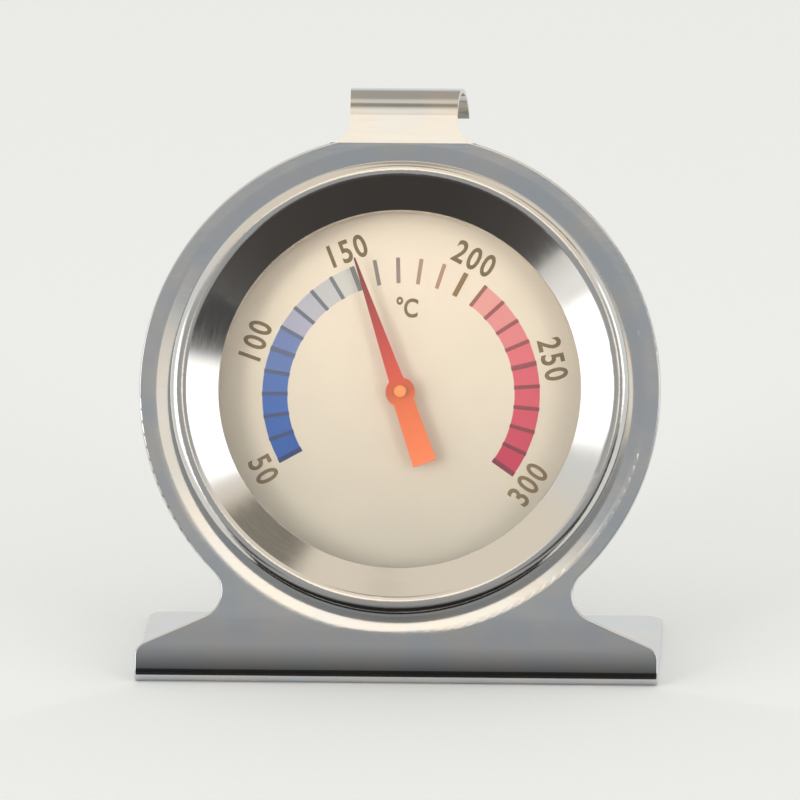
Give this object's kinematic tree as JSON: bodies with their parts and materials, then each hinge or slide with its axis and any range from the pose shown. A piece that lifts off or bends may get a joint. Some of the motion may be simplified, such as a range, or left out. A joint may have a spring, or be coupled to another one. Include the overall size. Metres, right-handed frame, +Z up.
{
  "type": "dial oven thermometer",
  "caption": "Round dial oven and meat-roasting thermometer in a leaning sheet stand with a flat foot and a top hook; bimetal pointer turns over a Celsius scale.",
  "frame": {"origin": "middle of the foot's resting face", "axes": "+Z up, dial facing -Y and leaning back, +X to the reader's right"},
  "size_m": [0.06, 0.0334, 0.0638],
  "materials": {
    "stand_steel": "polished stainless sheet",
    "bezel_steel": "mirror polished stainless sheet",
    "gasket_silicone": "heat-proof silicone",
    "window_glass": "clear flat glass",
    "spacer_aluminium": "bright rolled strip",
    "dial_enamel": "satin cream enamel with printed scale",
    "case_steel": "drawn stainless cup",
    "bridge_brass": "stamped strip",
    "rivet_steel": "plain rivets",
    "bush_brass": "turned",
    "washer_brass": "stamped",
    "coil_bimetal": "rolled bimetal strip",
    "shaft_steel": "drawn wire",
    "hub_paint": "orange lacquer",
    "needle_paint": "red to orange lacquer"
  },
  "bodies": {
    "case": {"stand_bracket": "stand_steel", "bezel_ring": "bezel_steel", "lens_gasket": "gasket_silicone", "glass_lens": "window_glass", "spacer_ring": "spacer_aluminium", "dial_plate": "dial_enamel", "case_can": "case_steel", "movement_bridge": "bridge_brass", "case_rivets": "rivet_steel", "front_bearing": "bush_brass", "rear_bearing": "bush_brass", "thrust_washer": "washer_brass", "bimetal_coil": "coil_bimetal", "coil_anchor": "bridge_brass"},
    "pointer": {"pointer_needle": "needle_paint", "pointer_hub": "hub_paint", "pointer_shaft": "shaft_steel", "coil_collet": "bush_brass"}
  },
  "joints": [
    {"name": "pointer_turn", "type": "hinge", "parent": "case", "child": "pointer", "pos_m": [0, -0.00369, 0.03189], "axis": [0, 0.9272, -0.3746], "range_deg": [-127, 150], "stiffness_Nm_per_rad": 0.003, "deforming": ["bimetal_coil"]}
  ]
}
